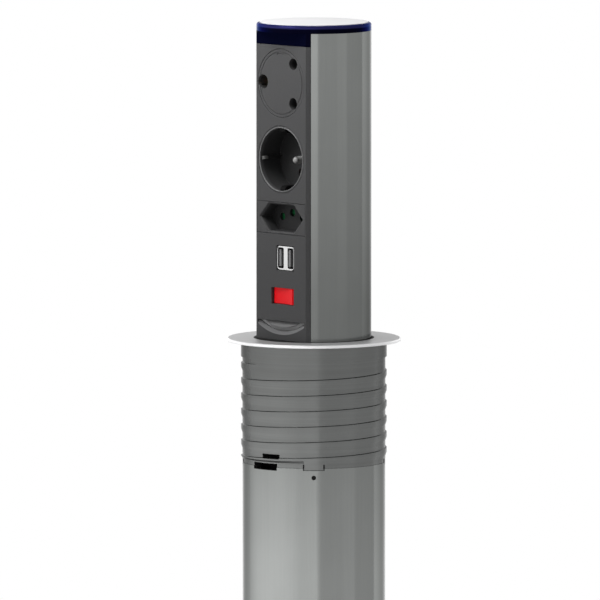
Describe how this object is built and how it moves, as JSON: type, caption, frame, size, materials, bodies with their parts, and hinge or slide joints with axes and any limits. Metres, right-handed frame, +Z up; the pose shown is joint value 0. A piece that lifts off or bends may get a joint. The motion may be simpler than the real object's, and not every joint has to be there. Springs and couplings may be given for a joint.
{
  "type": "pop up desk socket",
  "caption": "Round tower with a flat socket front, rocker switch and charging ports that slides up out of a threaded tube housing hung in a desk hole.",
  "frame": {"origin": "centre of the desk hole, on the desk top under the flange", "axes": "+Z up along the tower's axis, -Y out of the flat front with the sockets, +X to the right of someone who faces that front"},
  "size_m": [0.112, 0.112, 0.517],
  "materials": {
    "flange_silver": "satin silver",
    "seal_rubber": "matte black",
    "collar_grey": "mid grey, satin",
    "bush_black": "matte black",
    "tube_grey": "satin grey",
    "profile_aluminium": "anodised grey",
    "fascia_grey": "dark grey, fine matte",
    "insert_grey": "dark grey, fine matte",
    "contact_brass": "bare",
    "contact_nickel": "nickel plated",
    "port_nickel": "nickel plated, bright",
    "tongue_grey": "mid grey",
    "fastener_steel": "zinc plated",
    "fastener_black": "black oxide",
    "shutter_green": "green",
    "rocker_red": "bright red, clear",
    "light_blue": "deep blue, clear",
    "disc_white": "pale satin",
    "terminal_white": "off white",
    "board_green": "solder mask"
  },
  "bodies": {
    "housing": {"desk_flange": "flange_silver", "wiper_seal": "seal_rubber", "threaded_collar": "collar_grey", "guide_bush": "bush_black", "outer_tube": "tube_grey", "tube_end_ring": "collar_grey", "end_ring_rivets": "fastener_steel", "collar_screws": "fastener_black"},
    "tower": {"tower_profile": "profile_aluminium", "front_fascia": "fascia_grey", "terminal_cover": "fascia_grey", "round_pin_insert": "insert_grey", "round_pin_contacts": "contact_brass", "earth_pin_insert": "insert_grey", "earth_pin": "contact_nickel", "earth_pin_contacts": "contact_brass", "earth_side_clip": "contact_nickel", "hex_insert": "insert_grey", "hex_cover": "insert_grey", "hex_contacts": "contact_brass", "insert_screws": "fastener_steel", "live_bar": "contact_brass", "live_feed_bar": "contact_brass", "neutral_bar": "contact_brass", "earth_bar": "contact_brass", "terminal_block": "terminal_white", "terminal_screws": "fastener_steel", "usb_shell": "port_nickel", "usb_tongues": "tongue_grey", "usb_board": "board_green", "board_screws": "fastener_steel", "switch_body": "bush_black", "switch_terminals": "contact_brass", "latch_spring": "fastener_steel", "latch_bracket": "insert_grey", "bracket_screws": "fastener_steel", "light_ring": "light_blue", "led_board": "terminal_white", "top_disc": "disc_white", "cap_screws": "fastener_steel", "tower_base": "bush_black", "glide_ring": "terminal_white", "base_screws": "fastener_steel", "cable_gland": "bush_black", "gland_nut": "contact_nickel"},
    "rocker": {"rocker": "rocker_red"},
    "release": {"release_latch": "fascia_grey"},
    "shutter": {"hex_shutter": "shutter_green"}
  },
  "joints": [
    {"name": "tower_slide", "type": "slide", "parent": "housing", "child": "tower", "axis": [0, 0, 1], "range_m": [-0.1982, 0]},
    {"name": "rocker_tip", "type": "hinge", "parent": "tower", "child": "rocker", "pos_m": [0.0015, -0.02335, 0.0303], "axis": [0, 0, 1], "range_deg": [0, 10]},
    {"name": "release_press", "type": "slide", "parent": "tower", "child": "release", "axis": [0, 1, 0], "range_m": [0, 0.005], "stiffness_N_per_m": 400, "springref_m": -0.003, "deforming": ["latch_spring"]},
    {"name": "shutter_slide", "type": "slide", "parent": "tower", "child": "shutter", "axis": [-1, 0, 0], "range_m": [0, 0.0055], "stiffness_N_per_m": 100, "springref_m": -0.003}
  ]
}
